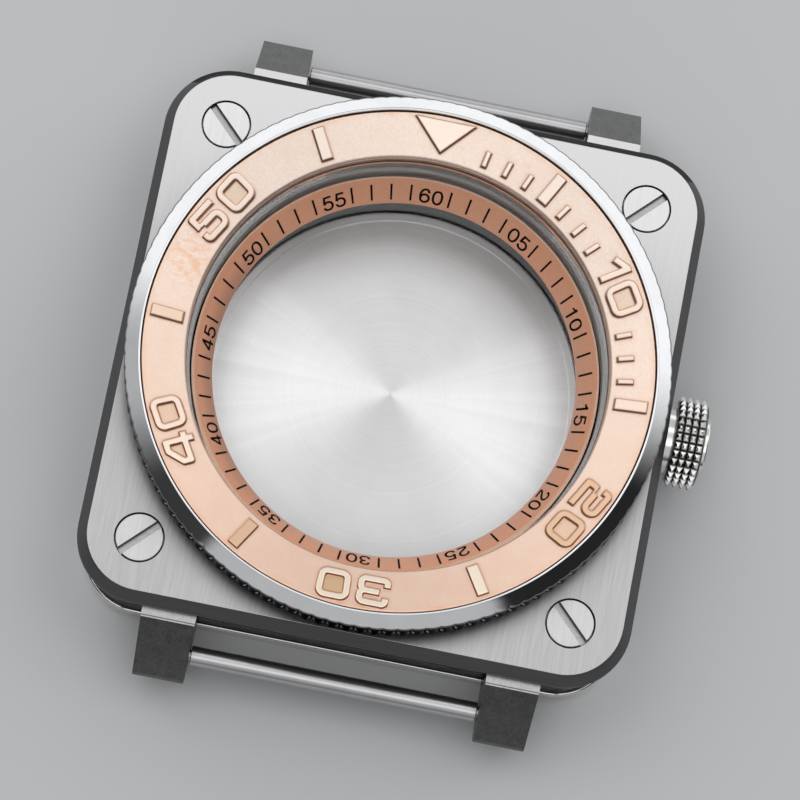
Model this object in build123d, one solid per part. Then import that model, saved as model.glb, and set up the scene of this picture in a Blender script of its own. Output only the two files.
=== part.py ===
from build123d import *
import math
import os

# ---------------------------------------------------------------- driving sizes, mm
# +Z up through the crystal, +X to the crown, +Y to 12 o'clock, z = 0 on the back's flat underside
PT = 9.8                      # height of the top plate's face

# top plate
plate_half_top = 20.25        # half width of the flat face
plate_corner_top = 4.3        # corner radius of the flat face
plate_half = 21.0             # half width under the bevel
bevel_h = 1.2
plate_t = 1.5

# neck that carries bezel and crystal
neck_ro = 17.3
neck_ri = 16.15
neck_top = PT + 1.7
bore_r = 15.52
relief_r = 15.75

# middle case
mid_z0, mid_z1 = 1.95, PT - plate_t
mid_half_top, mid_half_bot = 20.8, 20.25
mid_corner = 4.85
cavity_r = 14.5
seat_z = PT - 2.9             # ledge that carries the minute ring

# lugs and bars
lug_x0, lug_x1 = 11.0, 15.1
bar_y, bar_z, bar_r = 23.25, 3.9, 0.75
bar_half = 10.94
pin_r, pin_hole_r = 0.42, 0.47

# back plate
back_half, back_corner = 20.6, 4.65
boss_r, boss_z, floor_z = 14.4, 2.2, 2.1

# corner screws
screw_xy = 16.3
head_r, head_t, slot_w, slot_d = 1.8, 0.8, 0.6, 0.58
shank_r = 0.8
bscrew_xy, bhead_r, bshank_r = 16.3, 1.3, 0.7

# crystal and minute ring
crystal_r, crystal_z0, crystal_z1 = 15.75, PT + 0.4, PT + 2.1
ring_ro, ring_ri = 15.38, 13.79
ring_top, ring_low = PT - 0.64, PT - 2.42

# bezel
bez_teeth = 120
bez_r, bez_valley = 20.4, 20.12
bez_edge_z = PT + 3.75
lip_z, lip_ro, lip_ri = PT + 4.25, 19.45, 19.2
bez_ri = 17.42
bez_z0 = PT + 0.25
knurl_z0 = PT + 1.0
under_r = 19.7
click_teeth = 120

# insert
ins_ri, ins_ro, ins_t = 15.8, 19.1, 0.8
ins_z = PT + 3.03             # top surface at the inner edge
ins_slope = 0.2976            # rise per mm of radius
mark_h = 0.2                  # height of the raised markers

# crown
cr_z = PT - 4.6
cr_x0, cr_x1, cr_r = 21.58, 23.96, 3.46
neck_x, neck_r = 21.02, 2.58   # smooth shoulder on the crown's inner side
tube_ro, tube_ri = 1.5, 0.95
post_r = 0.9

os.makedirs("parts", exist_ok=True)
out = {}


# ---------------------------------------------------------------- helpers
def ring(*pts):
    """solid of revolution about Z from (radius, height) points"""
    return revolve(Plane.XZ * make_face(Polyline(*pts, close=True)), axis=Axis.Z)


def rod_x(r, x0, x1, y, z):
    return Pos(x0, y, z) * (Rot(0, 90, 0) * Cylinder(r, x1 - x0, align=(Align.CENTER, Align.CENTER, Align.MIN)))


def rod_z(r, z0, z1, x=0, y=0):
    return Pos(x, y, z0) * Cylinder(r, z1 - z0, align=(Align.CENTER, Align.CENTER, Align.MIN))


def ring_x(pts, y=0, z=0):
    """solid of revolution about a line along X from (x, radius) points"""
    f = Plane.XZ * make_face(Polyline(*pts, close=True))
    return Pos(0, y, z) * revolve(f, axis=Axis.X)


def square(half, corner, z0, h, taper=0):
    return Pos(0, 0, z0) * extrude(RectangleRounded(2 * half, 2 * half, corner), amount=h, taper=taper)


def ins_top(r):
    return ins_z + (r - ins_ri) * ins_slope


corners = [(sx * screw_xy, sy * screw_xy) for sx in (1, -1) for sy in (1, -1)]

# ---------------------------------------------------------------- top plate with neck
taper = math.degrees(math.atan((plate_half - plate_half_top) / bevel_h))
corner_low = plate_corner_top + plate_half - plate_half_top
plate = square(plate_half, corner_low, PT - plate_t, plate_t - bevel_h)
plate += square(plate_half, corner_low, PT - bevel_h, bevel_h, taper)
plate += rod_z(neck_ro, PT - 0.5, neck_top)
# bore: minute ring pocket, relief groove, crystal shoulder, gasket bore with a small lead-in
plate -= ring((0, PT - plate_t - 1), (bore_r, PT - plate_t - 1), (bore_r, PT - 1.2), (relief_r, PT - 1.2), (relief_r, PT - 0.3),
              (bore_r, PT - 0.3), (bore_r, crystal_z0), (neck_ri, crystal_z0), (neck_ri, neck_top - 0.15), (neck_ri + 0.15, neck_top),
              (neck_ri + 0.15, neck_top + 1), (0, neck_top + 1))
# three grooves round the neck: click spring, friction gasket, retaining wire
for ri, z0, z1 in ((16.75, PT + 0.1, PT + 0.5), (16.92, PT + 0.58, PT + 0.88), (16.95, PT + 0.98, PT + 1.38)):
    plate -= ring((ri, z0), (neck_ro + 1, z0), (neck_ro + 1, z1), (ri, z1))
for x, y in corners:
    plate -= rod_z(shank_r + 0.05, PT - 3, PT, x, y)
    plate -= rod_z(head_r + 0.08, PT - 0.85, PT + 1, x, y)
out["top_plate"] = plate

# ---------------------------------------------------------------- middle case
mid_h = mid_z1 - mid_z0
mid_taper = math.degrees(math.atan((mid_half_top - mid_half_bot) / mid_h))
mid = Pos(0, 0, mid_z1) * (Rot(180, 0, 0) * extrude(RectangleRounded(2 * mid_half_top, 2 * mid_half_top, mid_corner), amount=mid_h, taper=mid_taper))
lug_profile = [(17.5, PT - 1.77), (21.75, PT - 1.77), (25.3, PT - 5.75), (25.45, PT - 6.3), (25.25, 2.45), (24.65, 1.95), (17.5, 1.95)]
for sx in (1, -1):
    for sy in (1, -1):
        face = Plane.YZ * make_face(Polyline(*[(sy * a, b) for a, b in lug_profile], close=True))
        lug = extrude(face, amount=lug_x1 - lug_x0, dir=(1, 0, 0))
        mid += Pos(lug_x0 if sx > 0 else -lug_x1, 0, 0) * lug
        # each lug narrows a little towards its tip
        for side in ([(lug_x1, 21.2), (lug_x1 + 1, 21.2), (lug_x1 + 1, 26), (lug_x1 - 0.12, 26)], [(lug_x0, 21.2), (lug_x0 + 0.12, 26), (lug_x0 - 1, 26), (lug_x0 - 1, 21.2)]):
            mid -= Pos(0, 0, -1) * extrude(make_face(Polyline(*[(sx * a, sy * b) for a, b in side], close=True)), amount=12, dir=(0, 0, 1))
mid -= rod_z(cavity_r, mid_z0 - 1, mid_z1 + 1)
mid -= rod_z(bore_r, seat_z, mid_z1 + 1)
mid -= ring((16.2, mid_z1 - 0.4), (17.2, mid_z1 - 0.4), (17.2, mid_z1 + 1), (16.2, mid_z1 + 1))
for x, y in corners:
    mid -= rod_z(shank_r + 0.03, 4.9, mid_z1 + 1, x, y)
    mid -= rod_z(bshank_r + 0.03, mid_z0 - 1, 4.4, x / screw_xy * bscrew_xy, y / screw_xy * bscrew_xy)
mid -= rod_x(tube_ro + 0.02, 10, 24, 0, cr_z)
mid -= rod_x(2.72, 20.3, 24, 0, cr_z)
for sy in (1, -1):
    mid -= rod_x(pin_hole_r, -lug_x1 - 1, -lug_x0 + 1, sy * bar_y, bar_z)
    mid -= rod_x(pin_hole_r, lug_x0 - 1, lug_x1 + 1, sy * bar_y, bar_z)
# the block round the crown's hole is a solid of its own
block = Pos(17.5, 0, 5) * Box(9, 6.4, 10)
boss = mid & block
mid -= block
out["mid_case"] = Compound(children=[mid.solids()[0], boss.solids()[0]])

# ---------------------------------------------------------------- back plate
back = square(back_half, back_corner, 0, mid_z0)
back = chamfer(back.faces().sort_by(Axis.Z)[0].outer_wire().edges(), 0.35)
back = chamfer(back.faces().sort_by(Axis.Z)[-1].outer_wire().edges(), 0.12)
back += rod_z(boss_r, mid_z0 - 0.5, boss_z)
back -= rod_z(13.8, floor_z, boss_z + 1)
back -= ring((14.85, mid_z0 - 0.5), (15.85, mid_z0 - 0.5), (15.85, mid_z0 + 1), (14.85, mid_z0 + 1))
for x, y in corners:
    x, y = x / screw_xy * bscrew_xy, y / screw_xy * bscrew_xy
    back -= rod_z(bshank_r + 0.05, -1, 3, x, y)
    back -= rod_z(bhead_r + 0.06, -1, 0.9, x, y)
out["back_plate"] = back

# ---------------------------------------------------------------- gaskets of the case
out["plate_gasket"] = ring((16.25, mid_z1 - 0.37), (17.15, mid_z1 - 0.37), (17.15, mid_z1 - 0.02), (16.25, mid_z1 - 0.02))
out["back_gasket"] = ring((14.9, mid_z0 - 0.47), (15.8, mid_z0 - 0.47), (15.8, mid_z0 - 0.02), (14.9, mid_z0 - 0.02))
out["crystal_gasket"] = ring((crystal_r + 0.02, crystal_z0 + 0.01), (neck_ri - 0.02, crystal_z0 + 0.01), (neck_ri - 0.02, neck_top - 0.1),
                             (neck_ri - 0.1, neck_top - 0.02), (crystal_r + 0.08, neck_top - 0.02), (crystal_r + 0.02, neck_top - 0.1))
out["bezel_gasket"] = ring((16.95, PT + 0.62), (17.36, PT + 0.62), (17.36, PT + 0.84), (16.95, PT + 0.84))

# ---------------------------------------------------------------- screws
front = []
for x, y in corners:
    s = rod_z(head_r, PT - 0.01 - head_t, PT - 0.01)
    s = chamfer(s.edges().sort_by(Axis.Z)[-1], 0.06)
    s += rod_z(shank_r, 5.2, PT - 0.01 - head_t)
    s -= Pos(0, 0, PT - 0.01 - slot_d) * (Rot(0, 0, math.degrees(math.atan2(y, x))) * Box(5, slot_w, 1, align=(Align.CENTER, Align.CENTER, Align.MIN)))
    front.append(Pos(x, y, 0) * s)
out["front_screws"] = Compound(children=[p.solids()[0] for p in front])
rear = []
for x, y in corners:
    s = rod_z(bhead_r, 0.08, 0.88)
    s = chamfer(s.edges().sort_by(Axis.Z)[0], 0.08)
    s += rod_z(bshank_r, 0.88, 4.2)
    s -= Pos(0, 0, -0.5) * (Rot(0, 0, math.degrees(math.atan2(y, x))) * Box(5, 0.45, 0.98, align=(Align.CENTER, Align.CENTER, Align.MIN)))
    rear.append(Pos(x / screw_xy * bscrew_xy, y / screw_xy * bscrew_xy, 0) * s)
out["back_screws"] = Compound(children=[p.solids()[0] for p in rear])

# ---------------------------------------------------------------- crystal and minute ring
out["crystal"] = ring((0, crystal_z0 + 0.005), (crystal_r, crystal_z0 + 0.005), (crystal_r, crystal_z1 - 0.12), (crystal_r - 0.12, crystal_z1), (0, crystal_z1))
out["chapter_ring"] = ring((ring_ro, seat_z), (ring_ro, ring_top), (ring_ro - 0.1, ring_top), (ring_ri, ring_low),
                           (ring_ri, ring_low - 0.2), (14.2, seat_z))


# ---------------------------------------------------------------- bezel ring
def toothed(n, r_tip, r_root, tip_deg, root_deg, z0, h):
    """prism with n flat-topped teeth"""
    pts = []
    for i in range(n):
        a = 360.0 * i / n
        p = 180.0 / n
        for ang, r in ((a - tip_deg / 2, r_tip), (a + tip_deg / 2, r_tip), (a + p * 2 - p - root_deg / 2, r_root), (a + p + root_deg / 2, r_root)):
            pts.append((r * math.sin(math.radians(ang)), r * math.cos(math.radians(ang))))
    return Pos(0, 0, z0) * extrude(make_face(Polyline(*pts, close=True)), amount=h)


seat_cone = lambda r: ins_top(r) - ins_t - 0.08
bez = ring((bez_ri, bez_z0), (under_r - 0.15, bez_z0), (under_r, bez_z0 + 0.15), (under_r, knurl_z0 - 0.15), (bez_r - 0.25, knurl_z0),
           (bez_r + 0.3, knurl_z0 + 0.2), (bez_r + 0.3, bez_edge_z - 0.158), (lip_ro, lip_z), (lip_ri, lip_z), (lip_ri, seat_cone(lip_ri)), (16.0, seat_cone(16.0)),
           (16.0, neck_top + 0.12), (bez_ri, neck_top + 0.12))
bez &= toothed(bez_teeth, bez_r, bez_valley, 1.3, 0.5, bez_z0 - 1, 6)
bez -= toothed(click_teeth, bez_ri + 0.2, bez_ri, 1.0, 1.0, bez_z0 - 1, 1.28)
bez -= ring((bez_ri - 1, PT + 1.03), (17.75, PT + 1.03), (17.75, PT + 1.33), (bez_ri - 1, PT + 1.33))
out["bezel_ring"] = bez

out["insert_adhesive"] = ring((17.6, seat_cone(17.6) + 0.01), (19.0, seat_cone(19.0) + 0.01), (19.0, seat_cone(19.0) + 0.07), (17.6, seat_cone(17.6) + 0.07))


# ---------------------------------------------------------------- insert with raised markers
def outline(pts, w, closed=False):
    """polygons of a stroke of width w along a centre line, mitred at its corners"""
    n = len(pts)
    left, right = [], []
    for i in range(n):
        p = pts[i]
        a = pts[i - 1] if (i or closed) else None
        b = pts[(i + 1) % n] if (i < n - 1 or closed) else None
        def unit(u, v):
            d = math.hypot(v[0] - u[0], v[1] - u[1])
            return (v[0] - u[0]) / d, (v[1] - u[1]) / d
        d0 = unit(a, p) if a else unit(p, b)
        d1 = unit(p, b) if b else d0
        n0, n1 = (-d0[1], d0[0]), (-d1[1], d1[0])
        m = (n0[0] + n1[0], n0[1] + n1[1])
        k = (w / 2) / max(0.3, (m[0] * n0[0] + m[1] * n0[1]) / math.hypot(*m)) / math.hypot(*m)
        left.append((p[0] + m[0] * k, p[1] + m[1] * k))
        right.append((p[0] - m[0] * k, p[1] - m[1] * k))
    if closed:
        return left, right
    return left + right[::-1], None


w = 0.48
zero = ([(0.72, 0.24), (1.78, 0.24), (2.16, 0.62), (2.26, 1.73), (1.93, 2.11), (0.57, 2.11), (0.24, 1.73), (0.34, 0.62)], True)
digits = {
    "0": [zero],
    "1": [([(1.2, 0.0), (1.2, 2.35)], False), ([(0.12, 1.5), (1.1, 2.12)], False)],
    "2": [([(0.22, 1.62), (0.22, 1.8), (0.5, 2.11), (1.85, 2.11), (2.16, 1.8), (2.16, 1.5), (1.85, 1.18), (0.55, 1.18), (0.24, 0.9), (0.24, 0.24), (2.4, 0.24)], False)],
    "3": [([(0.22, 1.62), (0.22, 1.8), (0.5, 2.11), (1.85, 2.11), (2.16, 1.8), (2.16, 1.5), (1.9, 1.2), (2.16, 0.88), (2.16, 0.55), (1.85, 0.24), (0.5, 0.24), (0.22, 0.55), (0.22, 0.75)], False),
          ([(0.75, 1.2), (1.9, 1.2)], False)],
    "4": [([(1.95, 0.0), (1.95, 2.11), (1.28, 2.11), (0.3, 1.2), (0.3, 0.66), (2.5, 0.66)], False)],
    "5": [([(2.36, 2.11), (0.26, 2.11), (0.26, 1.3), (1.85, 1.3), (2.16, 1.0), (2.16, 0.55), (1.85, 0.24), (0.5, 0.24), (0.22, 0.55), (0.22, 0.75)], False)],
}
base_r = 16.35


def place(pts, deg):
    c, s = math.cos(math.radians(deg)), math.sin(math.radians(deg))
    return [(x * c + y * s, -x * s + y * c) for x, y in pts]


def prism(pts, deg):
    return Pos(0, 0, ins_z - 1) * extrude(make_face(Polyline(*place(pts, deg), close=True)), amount=3.4)


marks = []
for number, deg in (("10", 60), ("20", 120), ("30", 180), ("40", 240), ("50", 300)):
    for k, ch in enumerate(number):
        x0 = {"1": -2.3, "0": 0.3 if number != "10" else -0.35}.get(ch, -2.6)
        solid = None
        for pts, closed in digits[ch]:
            a, b = outline(pts, w, closed)
            p = prism([(x0 + x, base_r + y) for x, y in a], deg)
            if b:
                q = prism([(x0 + x, base_r + y) for x, y in b], deg)
                p = (p - q) if p.volume > q.volume else (q - p)
            solid = p if solid is None else solid + p
        marks.append(solid)
for minute in (5, 15, 25, 35, 45, 55):
    marks.append(prism([(-0.42, base_r), (0.42, base_r), (0.42, 18.72), (-0.42, 18.72)], minute * 6))
for minute in (2, 3, 4, 6, 7, 8, 12, 13, 14):
    marks.append(prism([(-0.18, base_r), (0.18, base_r), (0.18, 17.5), (-0.18, 17.5)], minute * 6))
marks.append(prism([(-2.3, 18.72), (0, 16.4), (2.3, 18.72)], 0))

skin = ring((ins_ri, ins_top(ins_ri) - 0.05), (ins_ro, ins_top(ins_ro) - 0.05), (ins_ro, ins_top(ins_ro) + mark_h), (ins_ri, ins_top(ins_ri) + mark_h))
insert = ring((ins_ri, ins_top(ins_ri)), (ins_ri, ins_top(ins_ri) - ins_t), (ins_ro, ins_top(ins_ro) - ins_t), (ins_ro, ins_top(ins_ro)))
raised = [m & skin for m in marks]
for m in raised:
    insert = insert + m
out["bezel_insert"] = insert

# ---------------------------------------------------------------- wire ring, click spring
wire = ring((17.05, PT + 1.08), (17.7, PT + 1.08), (17.7, PT + 1.28), (17.05, PT + 1.28))
wire -= Pos(0, -17.4, PT + 1.2) * Box(1.6, 2, 1)
out["bezel_retaining_ring"] = wire
spring = ring((16.8, PT + 0.15), (17.22, PT + 0.15), (17.22, PT + 0.45), (16.8, PT + 0.45))
spring -= Pos(0, 17.0, PT + 0.3) * Box(4.0, 2, 1)
spring += Rot(0, 0, -90) * (Pos(0, 17.15, PT + 0.3) * Box(0.5, 0.42, 0.3))
out["bezel_click_spring"] = spring

# ---------------------------------------------------------------- crown
out["crown_tube"] = ring_x([(15.0, tube_ri), (15.0, tube_ro), (20.3, tube_ro), (20.3, 2.65), (20.82, 2.65), (20.92, 2.55), (20.92, tube_ro), (22.5, tube_ro), (22.6, tube_ro - 0.1), (22.6, tube_ri)], 0, cr_z)
# head: 30 flats-and-vees across four rows
cx0, cx1 = cr_x0, cr_x1
n_cr, rows = 30, 4
pitch = (cx1 - 0.1 - cx0 - 0.1) / rows
prof = [(neck_x, 0), (neck_x, neck_r - 0.08), (neck_x + 0.08, neck_r), (cx0, neck_r), (cx0, cr_r - 0.3)]
for i in range(rows):
    a = cx0 + 0.1 + i * pitch
    prof += [(a, cr_r - 0.27), (a + pitch * 0.38, cr_r), (a + pitch * 0.62, cr_r)]
prof += [(cx1 - 0.1, cr_r - 0.27), (cx1, cr_r - 0.35), (cx1, 2.35), (cx1 + 0.25, 2.35), (cx1 + 0.33, 2.25), (cx1 + 0.33, 0)]
head = ring_x(prof)
pts = []
for i in range(n_cr):
    a = 2 * math.pi * i / n_cr
    p = math.pi / n_cr
    for ang, r in ((a - 0.24 * p, cr_r + 0.02), (a + 0.24 * p, cr_r + 0.02), (a + p, cr_r - 0.3)):
        pts.append((r * math.cos(ang), r * math.sin(ang)))
star = Pos(cx0 - 1, 0, 0) * (Plane.YZ * extrude(make_face(Polyline(*pts, close=True)), amount=5))
head = Pos(0, 0, cr_z) * (head & star)
head -= rod_x(2.2, cx0 - 1, 23.0, 0, cr_z)
head -= rod_x(post_r, 20, 23.7, 0, cr_z)
out["crown_head"] = head
post = ring_x([(14.7, 0.46), (14.7, post_r - 0.1), (14.8, post_r), (23.68, post_r), (23.68, 0), (20.7, 0), (20.7, 0.46)], 0, cr_z)
out["crown_post"] = post
out["crown_gasket"] = ring_x([(21.85, tube_ro + 0.05), (21.85, 2.17), (22.35, 2.17), (22.35, tube_ro + 0.05)], 0, cr_z)

# ---------------------------------------------------------------- strap bars
for side, sy in (("top", 1), ("bottom", -1)):
    y = sy * bar_y
    out[side + "_bar_tube"] = ring_x([(-bar_half, pin_hole_r), (-bar_half, bar_r - 0.06), (-bar_half + 0.06, bar_r), (bar_half - 0.06, bar_r), (bar_half, bar_r - 0.06),
                                      (bar_half, pin_hole_r), (bar_half - 0.5, pin_hole_r), (bar_half - 0.5, 0.6), (-bar_half + 0.5, 0.6), (-bar_half + 0.5, pin_hole_r)], y, bar_z)
    for name, s in (("left", -1), ("right", 1)):
        p = [(6.6, 0), (6.6, 0.56), (bar_half - 0.55, 0.56), (bar_half - 0.55, pin_r), (12.05, pin_r), (12.15, pin_r - 0.1), (12.15, 0)]
        out[f"{side}_bar_pin_{name}"] = ring_x([(s * a, b) for a, b in p], y, bar_z)
    coil_h, turns = 10.4, 20
    path = Helix(pitch=coil_h / turns, height=coil_h, radius=0.43)
    section = Plane(origin=path @ 0, z_dir=path % 0) * Circle(0.08)
    coil = sweep(section, path=path, is_frenet=True)
    out[side + "_bar_spring"] = Pos(-coil_h / 2, y, bar_z) * (Rot(0, 90, 0) * coil)

for name, shape in out.items():
    n = len(shape.solids())
    print(f"{name:24s} solids {n} volume {shape.volume:9.3f}")
    export_step(shape, f"parts/{name}.step")
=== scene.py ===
import bpy
import math
import numpy as np
from mathutils import Matrix, Vector


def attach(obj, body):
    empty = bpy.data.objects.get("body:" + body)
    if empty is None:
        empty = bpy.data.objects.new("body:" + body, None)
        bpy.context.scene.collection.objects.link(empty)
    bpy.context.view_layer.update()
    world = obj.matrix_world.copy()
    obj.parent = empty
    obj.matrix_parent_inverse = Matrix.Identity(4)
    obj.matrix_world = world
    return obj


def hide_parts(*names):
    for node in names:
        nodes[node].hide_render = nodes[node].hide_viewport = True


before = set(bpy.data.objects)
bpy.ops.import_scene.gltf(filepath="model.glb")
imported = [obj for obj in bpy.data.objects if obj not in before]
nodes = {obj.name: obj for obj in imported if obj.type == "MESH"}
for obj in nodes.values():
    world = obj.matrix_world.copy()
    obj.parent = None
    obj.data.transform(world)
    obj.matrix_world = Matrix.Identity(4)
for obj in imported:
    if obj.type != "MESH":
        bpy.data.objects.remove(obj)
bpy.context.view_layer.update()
MM = 0.001

# sizes in mm, in the part's frame: z = 0 on the back's underside, +X to the crown, +Y to 12 o'clock
PT = 9.8                                   # top plate's face
INS_RI, INS_RO, INS_T = 15.8, 19.1, 0.8
INS_Z, INS_SLOPE, MARK_H = PT + 3.03, 0.2976, 0.22
CR_Z = PT - 4.6


# ------------------------------------------------------------------ mesh helpers
def mesh_object(name, verts, faces, smooth=True, scale=MM):
    me = bpy.data.meshes.new(name)
    me.from_pydata([tuple(float(c) * scale for c in v) for v in verts], [], [tuple(int(i) for i in f) for f in faces])
    me.validate()
    me.update()
    if smooth:
        me.polygons.foreach_set("use_smooth", [True] * len(me.polygons))
    ob = bpy.data.objects.new(name, me)
    bpy.context.scene.collection.objects.link(ob)
    return ob


def rounded(pts, seg=4):
    """closed profile from (a, b, radius) corners, each corner turned into an arc of that radius"""
    out = []
    n = len(pts)
    for i in range(n):
        p = np.array(pts[i][:2], float)
        rad = pts[i][2] if len(pts[i]) > 2 else 0.0
        a = np.array(pts[i - 1][:2], float)
        b = np.array(pts[(i + 1) % n][:2], float)
        if rad <= 0:
            out.append(tuple(p))
            continue
        u, v = a - p, b - p
        lu, lv = np.linalg.norm(u), np.linalg.norm(v)
        u, v = u / lu, v / lv
        ang = math.acos(max(-1, min(1, float(u @ v))))
        t = min(rad / math.tan(ang / 2), lu * 0.48, lv * 0.48)
        r = t * math.tan(ang / 2)
        c = p + (u + v) / np.linalg.norm(u + v) * (r / math.sin(ang / 2))
        s, e = p + u * t - c, p + v * t - c
        a0, a1 = math.atan2(s[1], s[0]), math.atan2(e[1], e[0])
        d = (a1 - a0 + math.pi) % (2 * math.pi) - math.pi
        for k in range(seg + 1):
            w = a0 + d * k / seg
            out.append((c[0] + r * math.cos(w), c[1] + r * math.sin(w)))
    return out


def lathe(name, profile, n, mod=None, axis="Z", offset=(0, 0, 0), thetas=None):
    """closed profile of (radius, height) turned about an axis; mod(theta, radius, height) may change the radius"""
    th = np.linspace(0, 2 * math.pi, n, endpoint=False) if thetas is None else np.array(thetas)
    n = len(th)
    prof = np.array(profile, float)
    m = len(prof)
    T, R = np.meshgrid(th, prof[:, 0], indexing="ij")
    _, Z = np.meshgrid(th, prof[:, 1], indexing="ij")
    if mod is not None:
        R, Z = mod(T, R, Z)
    if axis == "Z":
        V = np.stack([R * np.sin(T), R * np.cos(T), Z], -1)
    else:
        V = np.stack([Z, R * np.cos(T), R * np.sin(T)], -1)
    V = V.reshape(-1, 3) + np.array(offset)
    i = np.arange(n)[:, None] * m
    j = np.arange(m)[None, :]
    i2 = ((np.arange(n) + 1) % n)[:, None] * m
    j2 = (np.arange(m)[None, :] + 1) % m
    F = np.stack([i + j, i + j2, i2 + j2, i2 + j], -1).reshape(-1, 4)
    # outward: positive enclosed volume
    a, b, c, d = (V[F[:, k]] for k in range(4))
    vol = np.einsum("ij,ij->i", a, np.cross(b, c)).sum() + np.einsum("ij,ij->i", a, np.cross(c, d)).sum()
    if vol < 0:
        F = F[:, ::-1]
    return mesh_object(name, V, F)


# ------------------------------------------------------------------ node helpers
class Tree:
    def __init__(self, name):
        self.mat = bpy.data.materials.new(name)
        self.mat.use_nodes = True
        self.nt = self.mat.node_tree
        self.nt.nodes.clear()
        self.out = self.nt.nodes.new("ShaderNodeOutputMaterial")
        self.b = self.nt.nodes.new("ShaderNodeBsdfPrincipled")
        self.nt.links.new(self.b.outputs[0], self.out.inputs[0])
        self.tc = self.nt.nodes.new("ShaderNodeTexCoord")
        self._mm = None

    def link(self, a, b):
        self.nt.links.new(a, b)

    def val(self, node, socket, v):
        s = node.inputs[socket]
        if isinstance(v, bpy.types.NodeSocket):
            self.link(v, s)
        else:
            s.default_value = v

    def mm(self):
        """position in millimetres in the part's frame"""
        if self._mm is None:
            m = self.nt.nodes.new("ShaderNodeVectorMath")
            m.operation = "SCALE"
            self.link(self.tc.outputs["Object"], m.inputs[0])
            m.inputs["Scale"].default_value = 1000.0
            self._mm = m.outputs[0]
        return self._mm

    def vmath(self, op, a, b=None, c=None):
        m = self.nt.nodes.new("ShaderNodeVectorMath")
        m.operation = op
        self.val(m, 0, a)
        if b is not None:
            self.val(m, 1, b)
        return m.outputs[1] if op in ("LENGTH", "DOT_PRODUCT") else m.outputs[0]

    def math(self, op, a, b=None, c=None, clamp=False):
        m = self.nt.nodes.new("ShaderNodeMath")
        m.operation = op
        m.use_clamp = clamp
        self.val(m, 0, a)
        if b is not None:
            self.val(m, 1, b)
        if c is not None:
            self.val(m, 2, c)
        return m.outputs[0]

    def noise(self, vec, scale=1.0, detail=2.0, rough=0.5, dist=0.0, dims="3D", w=None):
        n = self.nt.nodes.new("ShaderNodeTexNoise")
        n.noise_dimensions = dims
        if dims != "1D":
            self.val(n, "Vector", vec)
        else:
            self.val(n, "W", vec)
        n.inputs["Scale"].default_value = scale
        n.inputs["Detail"].default_value = detail
        n.inputs["Roughness"].default_value = rough
        n.inputs["Distortion"].default_value = dist
        return n.outputs[0]

    def scaled(self, v, shift=(0, 0, 0)):
        m = self.vmath("MULTIPLY", self.mm(), v)
        if shift != (0, 0, 0):
            m = self.vmath("ADD", m, shift)
        return m

    def xyz(self, vec=None):
        s = self.nt.nodes.new("ShaderNodeSeparateXYZ")
        self.link(vec if vec is not None else self.mm(), s.inputs[0])
        return s.outputs[0], s.outputs[1], s.outputs[2]

    def range(self, v, a0, a1, b0, b1, smooth=False):
        m = self.nt.nodes.new("ShaderNodeMapRange")
        if smooth:
            m.interpolation_type = "SMOOTHSTEP"
        self.val(m, 0, v)
        for k, x in zip((1, 2, 3, 4), (a0, a1, b0, b1)):
            m.inputs[k].default_value = x
        return m.outputs[0]

    def mix(self, fac, a, b):
        m = self.nt.nodes.new("ShaderNodeMix")
        m.data_type = "RGBA"
        self.val(m, 0, fac)
        for k, x in ((6, a), (7, b)):
            if isinstance(x, bpy.types.NodeSocket):
                self.link(x, m.inputs[k])
            else:
                m.inputs[k].default_value = (*x, 1) if len(x) == 3 else x
        return m.outputs[2]

    def bump(self, height, strength, dist_mm, normal=None):
        b = self.nt.nodes.new("ShaderNodeBump")
        b.inputs["Strength"].default_value = strength
        b.inputs["Distance"].default_value = dist_mm * MM
        self.link(height, b.inputs["Height"])
        if normal is not None:
            self.link(normal, b.inputs["Normal"])
        return b.outputs[0]

    def set(self, **kw):
        names = {"color": "Base Color", "metal": "Metallic", "rough": "Roughness", "ior": "IOR", "aniso": "Anisotropic", "rot": "Anisotropic Rotation",
                 "tangent": "Tangent", "normal": "Normal", "coat": "Coat Weight", "coat_rough": "Coat Roughness", "trans": "Transmission Weight", "alpha": "Alpha",
                 "spec": "Specular IOR Level"}
        for k, v in kw.items():
            if k == "color" and not isinstance(v, bpy.types.NodeSocket):
                v = (*v, 1) if len(v) == 3 else v
            self.val(self.b, names[k], v)
        return self

    def radial(self, axis="Z"):
        t = self.nt.nodes.new("ShaderNodeTangent")
        t.direction_type = "RADIAL"
        t.axis = axis
        return t.outputs[0]

    def along(self, v):
        c = self.nt.nodes.new("ShaderNodeCombineXYZ")
        for k in range(3):
            c.inputs[k].default_value = v[k]
        return c.outputs[0]


def paint(ob, *mats):
    ob.data.materials.clear()
    for m in mats:
        ob.data.materials.append(m)


# ------------------------------------------------------------------ materials
def brushed(name, color, rough, grain, tangent, spread=0.06, tint=0.06, aniso=0.7, bump=0.0035, extra=None):
    """satin metal with straight grain; grain is the noise scale per mm along each axis"""
    t = Tree(name)
    fine = t.noise(t.scaled(grain), 1.0, 3.0, 0.62)
    coarse = t.noise(t.scaled(tuple(g * 0.22 for g in grain), (7.3, 2.1, 4.9)), 1.0, 2.0, 0.5)
    both = t.math("MULTIPLY_ADD", fine, 0.65, t.math("MULTIPLY", coarse, 0.35))
    dark = tuple(c * (1 - tint * 2.2) for c in color)
    light = tuple(min(1.0, c * (1 + tint)) for c in color)
    col = t.mix(t.range(both, 0.3, 0.7, 0, 1), dark, light)
    if extra is not None:
        col = extra(t, col)
    t.set(color=col, metal=1.0, rough=t.range(both, 0.25, 0.75, rough - spread, rough + spread), aniso=aniso, tangent=t.along(tangent),
          normal=t.bump(both, 0.6, bump))
    return t.mat


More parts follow.
